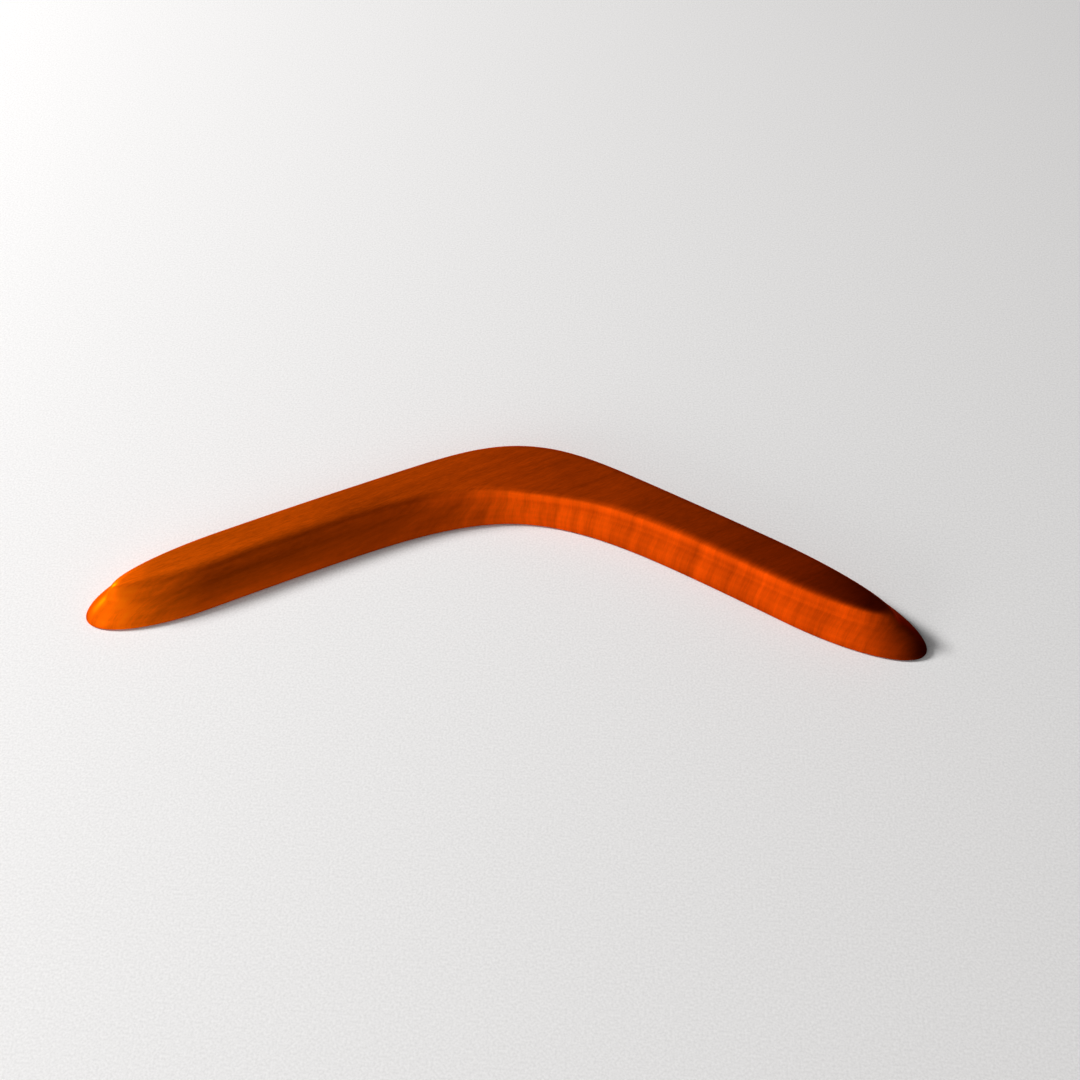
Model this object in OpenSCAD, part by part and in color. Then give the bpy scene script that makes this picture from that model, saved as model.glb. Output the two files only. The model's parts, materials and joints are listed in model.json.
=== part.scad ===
// Boomerang shaped from a board of thin veneers that are glued face to face, lying on its flat
// underside. +X runs along the span, +Y points to the elbow and +Z is up. The origin is the middle of
// the floor of the bounding box.

/* [Plan] */
// Length of the left arm along its middle line, from the elbow to the tip
left_arm = 227; // [180:1:300]
// Length of the right arm along its middle line, from the elbow to the tip
right_arm = 218.5; // [180:0.5:300]
// Angle between the two arms
arm_angle = 117.5; // [100:0.5:140]
// How far the bend of the elbow reaches into each arm
bend = 44; // [36:1:80]
// Width of an arm at the underside
arm_w = 40; // [36:0.5:50]
// Width of the elbow at the underside
elbow_w = 49; // [40:0.5:60]
// How far the extra width of the elbow reaches into each arm
flare = 47; // [30:1:80]
// Length over which the left tip narrows to its point
left_taper = 55; // [48:1:80]
// Length over which the right tip narrows to its point
right_taper = 65; // [48:1:80]

/* [Board] */
// Thickness of the board
board_t = 18; // [12:0.5:24]
// Number of veneers in the board
ply_count = 13; // [9:2:15]

/* [Bevel] */
// Width of the bevel on the outer edge, out to where the top is flat
outer_bevel = 13; // [8:0.5:16]
// Width of the bevel on the inner edge of the left arm
left_bevel = 17; // [8:0.5:18]
// Width of the bevel on the inner edge of the right arm
right_bevel = 13; // [8:0.5:18]
// Width of the bevel on the inner edge of the elbow
elbow_bevel = 8.5; // [8:0.5:18]
// Length of the bevel at the left tip
left_tip_bevel = 21.5; // [14:0.5:30]
// Length of the bevel at the right tip
right_tip_bevel = 27.5; // [14:0.5:30]
// Share of a side bevel's width that lies below its waist
waist_share = 0.45; // [0.38:0.01:0.5]
// Height of a side bevel's waist, as a share of the thickness
waist_height = 0.59; // [0.5:0.01:0.65]
// Share of a tip bevel's length that lies below its waist
tip_waist_share = 0.51; // [0.45:0.01:0.6]
// Height of a tip bevel's waist, as a share of the thickness
tip_waist_height = 0.58; // [0.5:0.01:0.65]
// Rounding of the bottom edge
bottom_round = 0.8; // [0.4:0.1:1.2]

/* [Hidden] */

ply_t = board_t / ply_count;
arm_fall = (180 - arm_angle) / 2;
// Points round one side of a tip, points along one side between the tips, and slices in a veneer
tip_steps = 12;
arm_steps = 40;
slices = 4;
side_steps = arm_steps + 2 * tip_steps;
// Length of the stretch through the elbow over which the left arm's inner bevel turns into the right's
bevel_change = 60;

// Middle line: two straight arms joined by a hyperbola, with its top at x = 0.
function mid_y(x) = -tan(arm_fall) * (sqrt(x * x + bend * bend) - bend);
function mid_slope(x) = -tan(arm_fall) * x / sqrt(x * x + bend * bend);

// Distance along the middle line against x, and the way back from a distance to its x.
run_step = 2;
function run_length(x) = run_step * sqrt(1 + pow(mid_slope(x + run_step / 2), 2));
run_end = max(left_arm, right_arm);
run = [for (x = 0, s = 0; x <= run_end; s = s + run_length(x), x = x + run_step) [s, x]];
function x_at(s) = sign(s) * lookup(abs(s), run);

// Half the width of the underside, before the tips narrow it.
function half_width(s) = arm_w / 2 + (elbow_w - arm_w) / 2 * exp(-pow(s / flare, 2));

// Bevel profile, from 0 at the outline to 1 at the flat top: a flank up to a gentler waist and a
// shoulder over to the top, each a Bezier curve of [share of the width, share of the thickness].
// The foot and the crest shape its steep lower end and its turn to the flat top. The result is a
// table of share against height.
function bezier(p, u) =
    pow(1 - u, 3) * p[0] + 3 * pow(1 - u, 2) * u * p[1] + 3 * (1 - u) * u * u * p[2] + pow(u, 3) * p[3];
waist_pull = [0.15, 0.125];
shoulder_pull = 4 / 3 * waist_pull;
side_foot = [0.04, 0.23];
side_crest = 0.61;
tip_foot = [0.03, 0.2];
tip_crest = 0.64;
curve_steps = [0.05 : 0.05 : 1];
function profile(foot, waist, crest) =
    let (flank = [[0, 0], foot, waist - waist_pull, waist])
    let (shoulder = [waist, waist + shoulder_pull, [crest, 1], [1, 1]])
    concat([[0, 0]],
        [for (u = curve_steps) let (p = bezier(flank, u)) [p.y, p.x]],
        [for (u = curve_steps) let (p = bezier(shoulder, u)) [p.y, p.x]]);
side_profile = profile(side_foot, [waist_share, waist_height], side_crest);
tip_profile = profile(tip_foot, [tip_waist_share, tip_waist_height], tip_crest);
function side_share(z) = lookup(z / board_t, side_profile);
function tip_share(z) = lookup(z / board_t, tip_profile);
// Rounding of the bottom edge, which stands back from the outline near the floor.
function round_inset(z) =
    let (h = max(bottom_round - z, 0)) bottom_round - sqrt(pow(bottom_round, 2) - pow(h, 2));

function smooth(u) = let (v = min(max(u, 0), 1)) v * v * (3 - 2 * v);
function arm_bevel(s) = left_bevel + (right_bevel - left_bevel) * smooth(s / bevel_change + 0.5);
function inner_bevel(s) = arm_bevel(s) + (elbow_bevel - arm_bevel(0)) * exp(-pow(s / flare, 2));

// Stations along one side of the outline at height z, as [distance along the middle line, width
// factor]. The factor falls to 0 at the tips, as on an ellipse.
function stations(z) =
    let (b = tip_share(z), r = round_inset(z))
    let (first = left_tip_bevel * b + r - left_arm, last = right_arm - right_tip_bevel * b - r)
    concat(
        [for (i = [0 : tip_steps - 1]) let (a = 90 * i / tip_steps)
            [first + left_taper * (1 - cos(a)), sin(a)]],
        [for (i = [0 : arm_steps]) let (u = i / arm_steps)
            [(first + left_taper) * (1 - u) + (last - right_taper) * u, 1]],
        [for (i = [tip_steps - 1 : -1 : 0]) let (a = 90 * i / tip_steps)
            [last - right_taper * (1 - cos(a)), sin(a)]]);

// Point beside the middle line: offset is positive towards the outer edge.
function beside(s, offset) =
    let (x = x_at(s), m = mid_slope(x), n = [-m, 1] / sqrt(1 + m * m))
    [x, mid_y(x)] + offset * n;

// Outline at height z: the left tip, the outer edge, the right tip and the inner edge.
function outline(z) =
    let (st = stations(z), b = side_share(z), r = round_inset(z))
    concat(
        [for (p = st) beside(p[0], p[1] * (half_width(p[0]) - outer_bevel * b - r))],
        [for (i = [side_steps - 1 : -1 : 1]) let (p = st[i])
            beside(p[0], -p[1] * (half_width(p[0]) - inner_bevel(p[0]) * b - r))]);

// The middle of the bounding box, which becomes the origin.
widest = outline(bottom_round);
widest_x = [for (p = widest) p.x];
widest_y = [for (p = widest) p.y];
low = [min(widest_x), min(widest_y)];
high = [max(widest_x), max(widest_y)];
centre = (low + high) / 2;

// Heights of the slices in veneer n, closer together at the bottom edge and under the flat top.
function slice_heights(n) = [for (i = [0 : slices]) let (u = i / slices)
    ply_t * (n - 1 + (n == 1 ? u * u : n == ply_count ? 1 - pow(1 - u, 2) : u))];

// Veneer n, counted from the bottom, as the stack of its outlines.
module stack(n) {
    ring = 2 * side_steps;
    points = [for (z = slice_heights(n)) for (p = outline(z)) [p.x - centre.x, p.y - centre.y, z]];
    walls = [for (k = [0 : slices - 1]) for (i = [0 : ring - 1]) let (j = (i + 1) % ring)
        [k * ring + i, k * ring + j, (k + 1) * ring + j, (k + 1) * ring + i]];
    // The flat faces are strips that run across the arms.
    strips = [for (i = [1 : side_steps - 2]) [i, i + 1, ring - i - 1, ring - i]];
    ends = [[0, 1, ring - 1], [side_steps - 1, side_steps, side_steps + 1]];
    face = concat(strips, ends);
    polyhedron(points, concat(
        walls,
        [for (f = face) [for (i = [len(f) - 1 : -1 : 0]) f[i]]],
        [for (f = face) [for (v = f) v + slices * ring]]));
}

// Veneer n, cut from its flat sheet.
module ply(n) {
    margin = 1;
    sheet = high - low + 2 * [margin, margin];
    intersection() {
        stack(n);
        translate([-sheet.x / 2, -sheet.y / 2, ply_t * (n - 1)]) cube([sheet.x, sheet.y, ply_t]);
    }
}

module face_veneer(n) { color("orangered") ply(n); }
module cross_ply(n) { color("saddlebrown") ply(n); }
module long_ply(n) { color("chocolate") ply(n); }

for (n = [1 : ply_count])
    union() {
        if (n == 1 || n == ply_count) face_veneer(n);
        else if (n % 2 == 0) cross_ply(n);
        else long_ply(n);
    }
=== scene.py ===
"""A two-armed wooden boomerang, shaped from a board of thin veneers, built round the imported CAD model.

The row frame: +X along the span, +Y towards the elbow, +Z up, origin in the middle of the underside's box.
Lengths are in metres.
"""
import json
import math

import bpy
import numpy as np
from mathutils import Matrix, Vector


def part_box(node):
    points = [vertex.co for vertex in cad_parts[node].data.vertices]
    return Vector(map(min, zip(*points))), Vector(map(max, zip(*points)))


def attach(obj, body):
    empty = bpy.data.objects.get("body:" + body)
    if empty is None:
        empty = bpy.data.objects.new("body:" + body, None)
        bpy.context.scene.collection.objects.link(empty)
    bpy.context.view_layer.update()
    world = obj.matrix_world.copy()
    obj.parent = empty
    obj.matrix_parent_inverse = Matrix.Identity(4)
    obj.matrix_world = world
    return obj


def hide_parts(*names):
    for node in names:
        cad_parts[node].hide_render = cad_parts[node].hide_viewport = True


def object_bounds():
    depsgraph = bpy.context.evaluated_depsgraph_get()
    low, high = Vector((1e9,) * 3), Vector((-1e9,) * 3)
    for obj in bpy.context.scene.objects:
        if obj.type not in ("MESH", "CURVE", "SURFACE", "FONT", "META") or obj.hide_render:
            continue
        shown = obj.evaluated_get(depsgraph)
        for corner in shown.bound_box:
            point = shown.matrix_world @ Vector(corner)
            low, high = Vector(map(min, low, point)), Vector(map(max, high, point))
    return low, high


MM = 0.001

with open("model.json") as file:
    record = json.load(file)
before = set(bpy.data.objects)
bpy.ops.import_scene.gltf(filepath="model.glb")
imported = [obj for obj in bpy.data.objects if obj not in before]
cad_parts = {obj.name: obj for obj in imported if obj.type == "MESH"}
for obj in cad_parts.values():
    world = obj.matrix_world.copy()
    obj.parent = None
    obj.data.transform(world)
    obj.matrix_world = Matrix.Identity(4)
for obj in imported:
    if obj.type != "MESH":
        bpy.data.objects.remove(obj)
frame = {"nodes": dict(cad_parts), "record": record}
cad_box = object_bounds()
cad_low, cad_high = (np.array(corner) for corner in cad_box)
record = frame["record"]


# ---------------------------------------------------------------- form of the blade
# The same form as the CAD source's, with more stations and slices.

LEFT_ARM, RIGHT_ARM = 227 * MM, 218.5 * MM
ARM_FALL = math.radians((180 - 117.5) / 2)
BEND = 44 * MM
ARM_W, ELBOW_W, FLARE = 40 * MM, 49 * MM, 47 * MM
LEFT_TAPER, RIGHT_TAPER = 55 * MM, 65 * MM
OUTER_BEVEL = 13 * MM
LEFT_BEVEL, RIGHT_BEVEL, ELBOW_BEVEL = 17 * MM, 13 * MM, 8.5 * MM
BEVEL_CHANGE = 60 * MM
LEFT_TIP_BEVEL, RIGHT_TIP_BEVEL = 21.5 * MM, 27.5 * MM
BOTTOM_ROUND = 0.8 * MM
BOARD_T = cad_high[2] - cad_low[2]

# Points that shape the bevels, as shares of their width and of the thickness.
SIDE_FOOT, SIDE_WAIST, SIDE_CREST = np.array([(0.04, 0.23), (0.45, 0.59), (0.61, 1)])
TIP_FOOT, TIP_WAIST, TIP_CREST = np.array([(0.03, 0.2), (0.51, 0.58), (0.64, 1)])
WAIST_PULL = np.array([0.15, 0.125])
SHOULDER_PULL = 4 / 3 * WAIST_PULL
CURVE_POINTS = 300

TIP_STEPS, ARM_STEPS = 30, 170
SLICES, FACE_SLICES = 6, 14


def bezier(points):
    """Points along a cubic curve."""
    u = np.linspace(0, 1, CURVE_POINTS)[:, None]
    return ((1 - u) ** 3 * points[0] + 3 * (1 - u) ** 2 * u * points[1]
            + 3 * (1 - u) * u * u * points[2] + u ** 3 * points[3])


def profile(foot, waist, crest):
    """A bevel's section: a flank up to the gentler waist and a shoulder over to the flat top."""
    flank = np.array([(0, 0), foot, waist - WAIST_PULL, waist])
    shoulder = np.array([waist, waist + SHOULDER_PULL, crest, (1, 1)])
    return np.vstack([bezier(flank), bezier(shoulder)[1:]])


SIDE_PROFILE = profile(SIDE_FOOT, SIDE_WAIST, SIDE_CREST)
TIP_PROFILE = profile(TIP_FOOT, TIP_WAIST, TIP_CREST)


def share_at(z, section):
    """How much of a bevel's width lies outside the outline at height z."""
    return np.interp(z / BOARD_T, section[:, 1], section[:, 0])


def round_inset(z):
    """How far the rounded bottom edge stands back from the outline at height z."""
    depth = max(BOTTOM_ROUND - z, 0)
    return BOTTOM_ROUND - math.sqrt(BOTTOM_ROUND ** 2 - depth ** 2)


def mid_slope(x):
    return -math.tan(ARM_FALL) * x / np.sqrt(x * x + BEND * BEND)


# Distance along the middle line, RUN_S, against x, RUN_X, a little further than an arm reaches.
RUN_X = np.linspace(0, 0.3, 6001)
STRETCH = np.sqrt(1 + mid_slope(RUN_X) ** 2)
RUN_S = np.concatenate([[0], np.cumsum((STRETCH[1:] + STRETCH[:-1]) / 2 * np.diff(RUN_X))])


def beside(s, offset):
    """Points beside the middle line: s runs along it from the elbow, offset is positive outwards."""
    x = np.sign(s) * np.interp(np.abs(s), RUN_S, RUN_X)
    y = -math.tan(ARM_FALL) * (np.sqrt(x * x + BEND * BEND) - BEND)
    slope = mid_slope(x)
    length = np.sqrt(1 + slope * slope)
    return np.stack([x - slope / length * offset, y + offset / length], -1)


def half_width(s):
    return ARM_W / 2 + (ELBOW_W - ARM_W) / 2 * np.exp(-(s / FLARE) ** 2)


def inner_bevel(s):
    """Width of the bevel on the inner edge."""
    def arms(at):
        u = np.clip(at / BEVEL_CHANGE + 0.5, 0, 1)
        return LEFT_BEVEL + (RIGHT_BEVEL - LEFT_BEVEL) * u * u * (3 - 2 * u)
    return arms(s) + (ELBOW_BEVEL - arms(np.float64(0))) * np.exp(-(s / FLARE) ** 2)


def outline(z):
    """Outline at height z: left tip, outer edge, right tip, inner edge."""
    share, tip_share, inset = share_at(z, SIDE_PROFILE), share_at(z, TIP_PROFILE), round_inset(z)
    first = LEFT_TIP_BEVEL * tip_share + inset - LEFT_ARM
    last = RIGHT_ARM - RIGHT_TIP_BEVEL * tip_share - inset
    turn = np.linspace(0, math.pi / 2, TIP_STEPS + 1)[:-1]
    s = np.concatenate([first + LEFT_TAPER * (1 - np.cos(turn)),
                        np.linspace(first + LEFT_TAPER, last - RIGHT_TAPER, ARM_STEPS + 1),
                        (last - RIGHT_TAPER * (1 - np.cos(turn)))[::-1]])
    width = np.concatenate([np.sin(turn), np.ones(ARM_STEPS + 1), np.sin(turn)[::-1]])
    outer = beside(s, width * (half_width(s) - OUTER_BEVEL * share - inset))
    inner = beside(s, -width * (half_width(s) - inner_bevel(s) * share - inset))
    return np.vstack([outer, inner[-2:0:-1]])


def slice_heights(low, high, first, last):
    """Heights of the slices in one veneer, closer together at the bottom edge and under the flat top."""
    u = np.linspace(0, 1, (FACE_SLICES if first or last else SLICES) + 1)
    if first:
        u = u * u
    if last:
        u = 1 - (1 - u) ** 2
    return low + (high - low) * u


def surface_normals(grid):
    """Unit outward normals of the sloping surface, one for each point of the stacked outlines."""
    along = np.roll(grid, -1, axis=1) - np.roll(grid, 1, axis=1)
    up = np.gradient(grid, axis=0)
    normal = np.cross(up, along)
    normal /= np.linalg.norm(normal, axis=2, keepdims=True)
    normal[-1] = (0, 0, 1)
    normal[0] = (0, 0, -1)
    return normal


nodes = sorted(frame["nodes"], key=lambda name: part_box(name)[0].z)
heights, spans = [0.0], []
for name in nodes:
    low, high = (corner.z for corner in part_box(name))
    inside = slice_heights(low, high, name == nodes[0], name == nodes[-1])
    spans.append((len(heights) - 1, len(heights) - 1 + len(inside)))
    heights.extend(inside[1:])

rings = [outline(z) for z in heights]
corners = np.array([np.vstack(rings).min(0), np.vstack(rings).max(0)])
centre = corners.mean(0)
# The finer outline is a hair larger than the CAD's: it is brought inside the CAD's box.
fit = np.minimum(1, (cad_high - cad_low)[:2] / (corners[1] - corners[0]))
cad_centre = (cad_low + cad_high)[:2] / 2
grid = np.array([np.column_stack([(ring - centre) * fit + cad_centre, np.full(len(ring), z)])
                 for ring, z in zip(rings, heights)])
normals = surface_normals(grid)


def veneer(name, first, last):
    """One veneer: the stacked outlines from slice first up to slice last, closed by two flat faces."""
    part, part_normals = grid[first:last], normals[first:last]
    levels, ring = part.shape[:2]
    side = TIP_STEPS * 2 + ARM_STEPS
    step = np.arange(ring)
    turn = (step + 1) % ring
    faces, loops = [], []
    flat_normals = part_normals.reshape(-1, 3)
    for k in range(levels - 1):
        quads = np.stack([k * ring + turn, k * ring + step,
                          (k + 1) * ring + step, (k + 1) * ring + turn], 1)
        faces.extend(quads.tolist())
        loops.append(flat_normals[quads.ravel()])
    strips = [[0, 1, ring - 1], [side - 1, side, side + 1]]
    strips += [[i, i + 1, ring - i - 1, ring - i] for i in range(1, side - 1)]
    top = (levels - 1) * ring
    for strip in strips:
        faces.append(strip)
        loops.append(np.tile((0.0, 0.0, -1.0), (len(strip), 1)))
        faces.append([top + i for i in reversed(strip)])
        loops.append(np.tile((0.0, 0.0, 1.0), (len(strip), 1)))
    mesh = bpy.data.meshes.new(name)
    mesh.from_pydata(part.reshape(-1, 3).tolist(), [], faces)
    mesh.polygons.foreach_set("use_smooth", [True] * len(faces))
    mesh.normals_split_custom_set(np.vstack(loops).tolist())
    piece = bpy.data.objects.new(name, mesh)
    bpy.context.scene.collection.objects.link(piece)
    return piece


# ---------------------------------------------------------------- materials

# Grain direction of the face veneers: along the left arm.
GRAIN = Vector((math.cos(ARM_FALL), math.sin(ARM_FALL), 0))
# Across the grain, leaning as the growth rings do.
RING_LEAN = 0.29
ACROSS = Vector((-math.sin(ARM_FALL), math.cos(ARM_FALL), -RING_LEAN))


class Graph:
    """Short way to write a material's node tree."""

    def __init__(self, name):
        self.material = bpy.data.materials.new(name)
        self.material.use_nodes = True
        self.tree = self.material.node_tree
        self.tree.nodes.clear()

    def add(self, kind, inputs=None, **settings):
        node = self.tree.nodes.new("ShaderNode" + kind)
        for key, value in settings.items():
            setattr(node, key, value)
        for key, value in (inputs or {}).items():
            if isinstance(value, bpy.types.NodeSocket):
                self.tree.links.new(value, node.inputs[key])
            else:
                node.inputs[key].default_value = value
        return node

    def math(self, operation, a, b=0.0, c=0.0):
        return self.add("Math", {0: a, 1: b, 2: c}, operation=operation).outputs[0]

    def dot(self, a, b):
        return self.add("VectorMath", {0: a, 1: tuple(b)}, operation="DOT_PRODUCT").outputs["Value"]

    def point(self, x, y, z):
        return self.add("CombineXYZ", {0: x, 1: y, 2: z}).outputs[0]

    def noise(self, vector, detail=2.0, roughness=0.5):
        node = self.add("TexNoise", {"Vector": vector, "Scale": 1.0, "Detail": detail,
                                     "Roughness": roughness})
        return node.outputs["Fac"]

    def ramp(self, value, stops):
        node = self.add("ValToRGB", {"Fac": value})
        elements = node.color_ramp.elements
        while len(elements) < len(stops):
            elements.new(0.5)
        for element, (position, colour) in zip(elements, stops):
            element.position = position
            element.color = (*colour, 1)
        return node.outputs["Color"]


# Colour of the stain along the span, from the left tip to the right one, on the flat top and on the
# bevels, as (share of the span, linear colour). Besides the stain's own colour these hold painted light and
# shade that the lamps alone don't give: they brighten the left tip, darken the right one and darken the flat
# top.
TOP_STAIN_AND_SHADE = [(0.0, (0.58, 0.074, 0.0008)), (0.04, (0.88, 0.125, 0.0011)), (0.08, (0.58, 0.082, 0.0009)),
             (0.35, (0.50, 0.060, 0.0007)),
             (0.5, (0.45, 0.047, 0.0006)), (0.7, (0.33, 0.032, 0.0005)), (0.86, (0.20, 0.016, 0.0003)),
             (0.93, (0.05, 0.003, 0.0001))]
BEVEL_STAIN_AND_SHADE = [(0.0, (0.60, 0.074, 0.0009)), (0.05, (1.00, 0.150, 0.0012)), (0.14, (0.54, 0.067, 0.0008)),
               (0.34, (0.45, 0.050, 0.0008)), (0.44, (0.57, 0.062, 0.0009)), (0.52, (0.76, 0.078, 0.0009)),
               (0.60, (0.56, 0.056, 0.0008)), (0.78, (0.46, 0.043, 0.0007)), (0.92, (0.62, 0.058, 0.0007)),
               (0.995, (0.05, 0.003, 0.0001))]
# How far below the top the darker stain and painted shade of the flat top fade out.
TOP_STAIN_AND_SHADE_DEPTH = 2.2 * MM
# A lighter line on the shoulder's crest, which stands for a highlight: heights over which it sets in
# and fades out, and the shares of the span over which it does so along the blade.
CREST_START, CREST_END = (12 * MM, 15.4 * MM), (17.8 * MM, 16.0 * MM)
LINE_START, LINE_END = (0.36, 0.56), (0.92, 0.76)


def stained_wood(name, tone):
    """Stained and varnished wood: long fibres and growth bands along the grain, soft blotches, and painted
    light and shade.
    """
    g = Graph(name)
    place = g.add("TexCoord").outputs["Object"]
    along = g.dot(place, GRAIN)
    across = g.dot(place, ACROSS)
    height = g.dot(place, (0, 0, 1))

    def scaled(value, length):
        return g.math("MULTIPLY", value, 1 / length)

    def between(value, start, end):
        """0 at start, 1 at end and smooth between them."""
        return g.add("MapRange", {"Value": value, "From Min": start, "From Max": end},
                     interpolation_type="SMOOTHSTEP").outputs["Result"]

    bands = g.noise(g.point(scaled(along, 220 * MM), scaled(across, 4.6 * MM), scaled(height, 90 * MM)),
                    detail=4, roughness=0.64)
    fibres = g.noise(g.point(scaled(along, 4 * MM), scaled(across, 0.5 * MM), scaled(height, 4 * MM)),
                     detail=2, roughness=0.65)
    blotches = g.noise(g.point(scaled(along, 30 * MM), scaled(across, 12 * MM), scaled(height, 12 * MM)),
                       detail=2)

    span = g.add("MapRange", {"Value": g.dot(place, (1, 0, 0)), "From Min": float(cad_low[0]),
                              "From Max": float(cad_high[0])}).outputs["Result"]
    # The flat top's and the bevels' colours, each holding painted light and shade as well as the stain.
    below_top = between(height, BOARD_T, BOARD_T - TOP_STAIN_AND_SHADE_DEPTH)
    stain_and_shade = g.add("Mix", {"Factor": below_top, "A": g.ramp(span, TOP_STAIN_AND_SHADE), "B": g.ramp(span, BEVEL_STAIN_AND_SHADE)},
                  data_type="RGBA").outputs[2]

    # The bands show most on the bevels, which cut across them, and the fibres on the flat top.
    bands_seen = g.math("MULTIPLY_ADD", below_top, 0.85, 0.65)
    fibres_seen = g.math("MULTIPLY_ADD", below_top, -0.40, 0.85)
    shade = g.math("MULTIPLY_ADD", g.math("SUBTRACT", bands, 0.5), bands_seen, tone)
    shade = g.math("MULTIPLY_ADD", g.math("SUBTRACT", fibres, 0.5), fibres_seen, shade)
    # Painted highlight: a lighter line along the shoulder's crest.
    crest = g.math("MULTIPLY", between(height, *CREST_START), between(height, *CREST_END))
    highlight_line = g.math("MULTIPLY", between(span, *LINE_START), between(span, *LINE_END))
    shade = g.math("MULTIPLY_ADD", g.math("MULTIPLY", crest, highlight_line), 0.34, shade)
    shade = g.math("MULTIPLY_ADD", g.math("SUBTRACT", blotches, 0.5), 0.45, shade)
    colour = g.add("VectorMath", {0: stain_and_shade, "Scale": shade}, operation="SCALE").outputs[0]
    rough = g.math("MULTIPLY_ADD", fibres, 0.14, 0.44)
    bump = g.add("Bump", {"Height": fibres, "Strength": 0.2, "Distance": 0.05 * MM}).outputs["Normal"]
    shader = g.add("BsdfPrincipled", {"Base Color": colour, "Roughness": rough, "Normal": bump,
                                      "Metallic": 0.6, "Specular IOR Level": 0.0,
                                      "Specular Tint": (0.65, 0.22, 0.05, 1)})
    g.add("OutputMaterial", {"Surface": shader.outputs[0]})
    return g.material


woods = {
    "face_veneer": stained_wood("stained_face_veneer", 1.08),
    "long_ply": stained_wood("stained_long_ply", 1.10),
    "cross_ply": stained_wood("stained_cross_ply", 1.05),
}
slots = {row["node"]: row["material_slot"] for row in record["subparts"]}

for name, (first, last) in zip(nodes, spans):
    piece = veneer(name + "_wood", first, last)
    piece.data.materials.append(woods[slots[name]])
    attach(piece, "root")
    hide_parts(name)


# ---------------------------------------------------------------- floor, light and camera

FLOOR_SIZE = 6.0
# The floor lies this far below the underside, which leaves a thin contact shadow.
FLOOR_GAP = 0.25 * MM


def floor_material():
    g = Graph("pale_floor")
    place = g.add("TexCoord").outputs["Object"]
    speckle = g.noise(g.add("VectorMath", {0: place, 1: (1000.0,) * 3}, operation="MULTIPLY").outputs[0])
    colour = g.ramp(speckle, [(0.3, (0.77, 0.76, 0.755)), (0.7, (0.89, 0.88, 0.875))])
    shader = g.add("BsdfPrincipled", {"Base Color": colour, "Roughness": 0.9, "Specular IOR Level": 0.1})
    g.add("OutputMaterial", {"Surface": shader.outputs[0]})
    return g.material


half = FLOOR_SIZE / 2
floor_mesh = bpy.data.meshes.new("floor")
floor_corners = [(-half, -half, 0), (half, -half, 0), (half, half, 0), (-half, half, 0)]
floor_mesh.from_pydata(floor_corners, [], [(0, 1, 2, 3)])
floor = bpy.data.objects.new("floor", floor_mesh)
floor.location.z = cad_low[2] - FLOOR_GAP
floor_mesh.materials.append(floor_material())
bpy.context.scene.collection.objects.link(floor)

# The camera stands in front of the object, which is turned a little to it.
elbow = Vector(record["mounts"][0]["pos_m"])
TURN = math.radians(-3.55)
LOOK_ANGLE = math.radians(48.5)
CAMERA_DISTANCE = 746 * MM
ELBOW_IN_VIEW = Vector((-8.3 * MM, 34.7 * MM, 0))
# From the camera's own frame, whose origin is where it looks, to the row frame.
studio = Matrix.Translation(elbow) @ Matrix.Rotation(-TURN, 4, "Z") @ Matrix.Translation(-ELBOW_IN_VIEW)

camera = bpy.data.objects.new("camera", bpy.data.cameras.new("camera"))
camera.data.lens = 49.75
camera.data.sensor_width = 36
camera.matrix_world = (studio @ Matrix.Rotation(math.pi / 2 - LOOK_ANGLE, 4, "X")
                       @ Matrix.Translation((0, 0, CAMERA_DISTANCE)))
bpy.context.scene.collection.objects.link(camera)
bpy.context.scene.camera = camera


def softbox(name, azimuth, elevation, distance, size, watts):
    """An area light that faces the object. Azimuth 0 is behind the camera and 90 on the right."""
    data = bpy.data.lights.new(name, "AREA")
    data.shape = "RECTANGLE"
    data.size, data.size_y = size
    data.energy = watts
    light = bpy.data.objects.new(name, data)
    a, e = math.radians(azimuth), math.radians(elevation)
    back = Vector((math.sin(a) * math.cos(e), -math.cos(a) * math.cos(e), math.sin(e)))
    place = Matrix.Translation(back * distance) @ back.to_track_quat("Z", "Y").to_matrix().to_4x4()
    light.matrix_world = studio @ place
    bpy.context.scene.collection.objects.link(light)


softbox("key", -107, 33, 3.2, (0.6, 0.6), 128)
softbox("front_left", -45, 14, 2.2, (1.5, 0.8), 15)
softbox("front", -12, 36, 2.4, (1.0, 1.0), 4.5)
softbox("left_high", -100, 54, 2.4, (1.2, 1.2), 4)
softbox("right_fill", 115, 58, 2.6, (1.6, 1.6), 3.5)

world = bpy.data.worlds.new("studio")
world.use_nodes = True
world.node_tree.nodes["Background"].inputs["Color"].default_value = (1, 1, 1, 1)
world.node_tree.nodes["Background"].inputs["Strength"].default_value = 0.05
bpy.context.scene.world = world
bpy.context.scene.view_settings.view_transform = "Standard"

bpy.context.view_layer.update()
